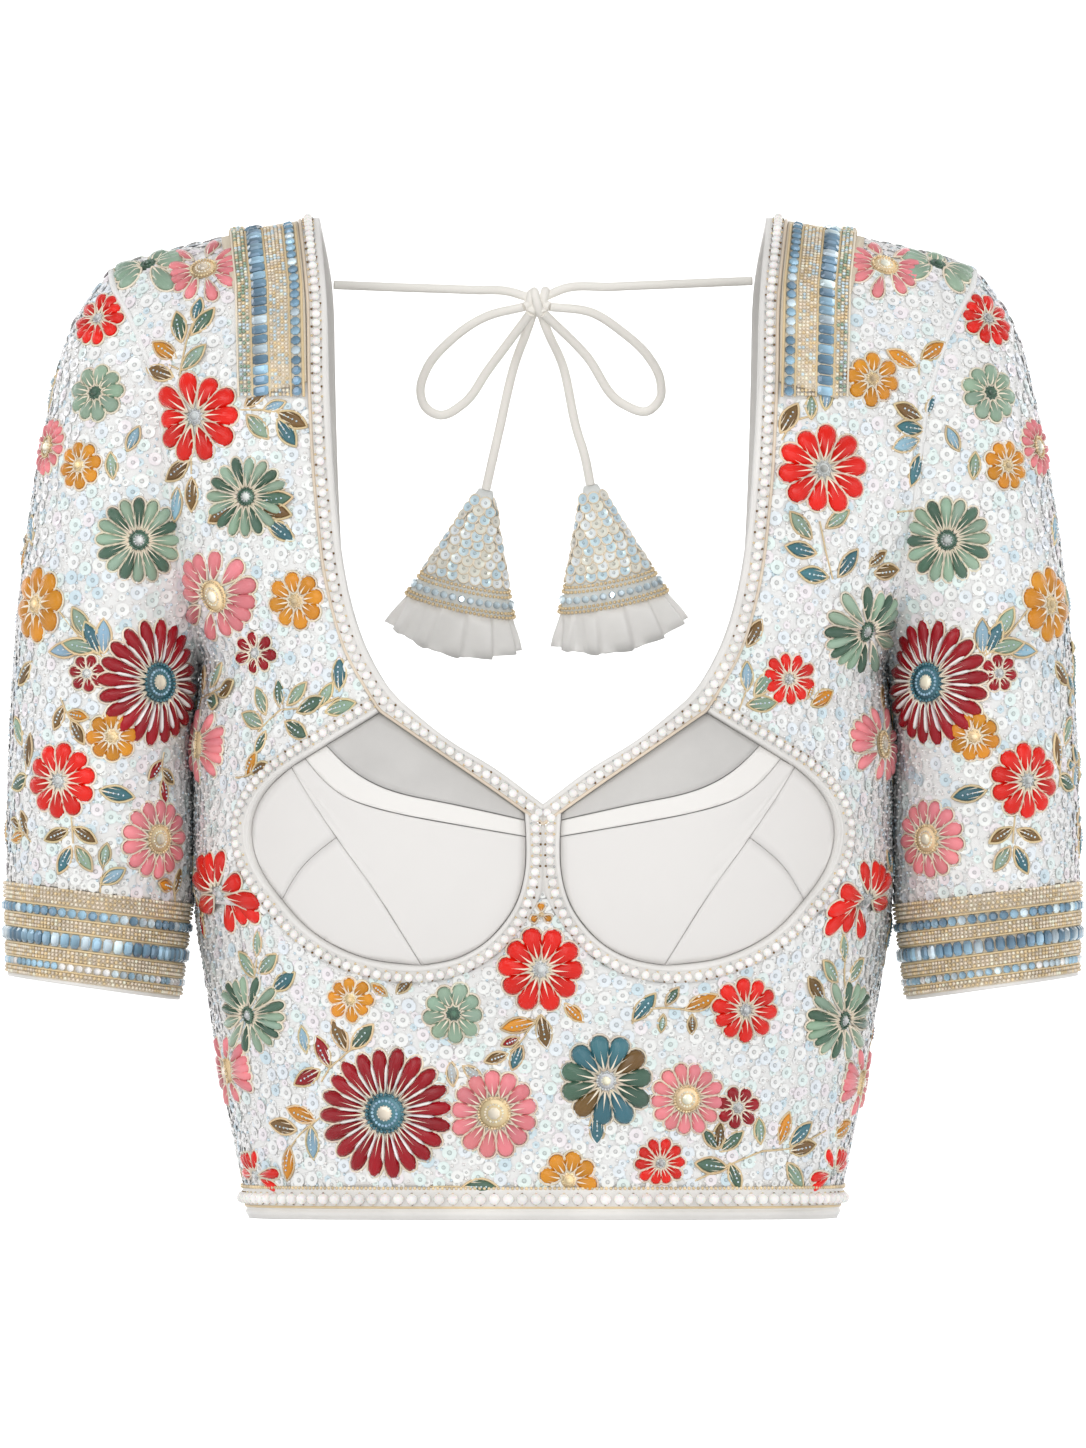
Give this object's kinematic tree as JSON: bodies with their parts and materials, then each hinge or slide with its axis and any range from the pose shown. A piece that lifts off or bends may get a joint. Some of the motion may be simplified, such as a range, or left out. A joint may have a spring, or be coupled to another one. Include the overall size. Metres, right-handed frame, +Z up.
{
  "type": "choli blouse",
  "caption": "Worn, hollow choli blouse: sweetheart front with bound cup windows, elbow sleeves with jewelled cuffs, and a deep back tied with a tasselled cord.",
  "frame": {"origin": "midway between the shoulders at the level of the high shoulder point, where the wearer holds it up", "axes": "+Z up, +X to the wearer's left, the front faces -Y"},
  "size_m": [0.4628, 0.2548, 0.4301],
  "materials": {
    "sequinned": "white net packed with pearl sequins and padded flowers",
    "cup_satin": "smooth satin",
    "band_satin": "smooth satin",
    "edging": "satin binding with pearls and gold cord",
    "jewelled": "blue stones between rows of gold cord",
    "dori_satin": "satin covered cord",
    "tassel_embroidery": "sequins and gold bead rows",
    "tassel_satin": "pleated satin"
  },
  "bodies": {
    "root": {"back_left": "sequinned", "back_right": "sequinned", "cuff_left": "jewelled", "cuff_right": "jewelled", "cup_border_left": "edging", "cup_border_right": "edging", "cup_main_left": "cup_satin", "cup_main_right": "cup_satin", "cup_side_lower_left": "cup_satin", "cup_side_lower_right": "cup_satin", "cup_side_upper_left": "cup_satin", "cup_side_upper_right": "cup_satin", "cup_top_band_left": "band_satin", "cup_top_band_right": "band_satin", "cup_upper_left": "cup_satin", "cup_upper_right": "cup_satin", "dori_knot": "dori_satin", "dori_loop_left": "dori_satin", "dori_loop_right": "dori_satin", "dori_run_left": "dori_satin", "dori_run_right": "dori_satin", "dori_tail_left": "dori_satin", "dori_tail_right": "dori_satin", "front_band": "sequinned", "front_yoke_left": "sequinned", "front_yoke_right": "sequinned", "hem_border": "edging", "neck_border_back_left": "edging", "neck_border_back_right": "edging", "neck_border_front_left": "edging", "neck_border_front_right": "edging", "shoulder_band_left": "jewelled", "shoulder_band_right": "jewelled", "sleeve_back_left": "sequinned", "sleeve_back_right": "sequinned", "sleeve_front_left": "sequinned", "sleeve_front_right": "sequinned", "tassel_cone_left": "tassel_embroidery", "tassel_cone_right": "tassel_embroidery", "tassel_frill_left": "tassel_satin", "tassel_frill_right": "tassel_satin"}
  },
  "joints": []
}
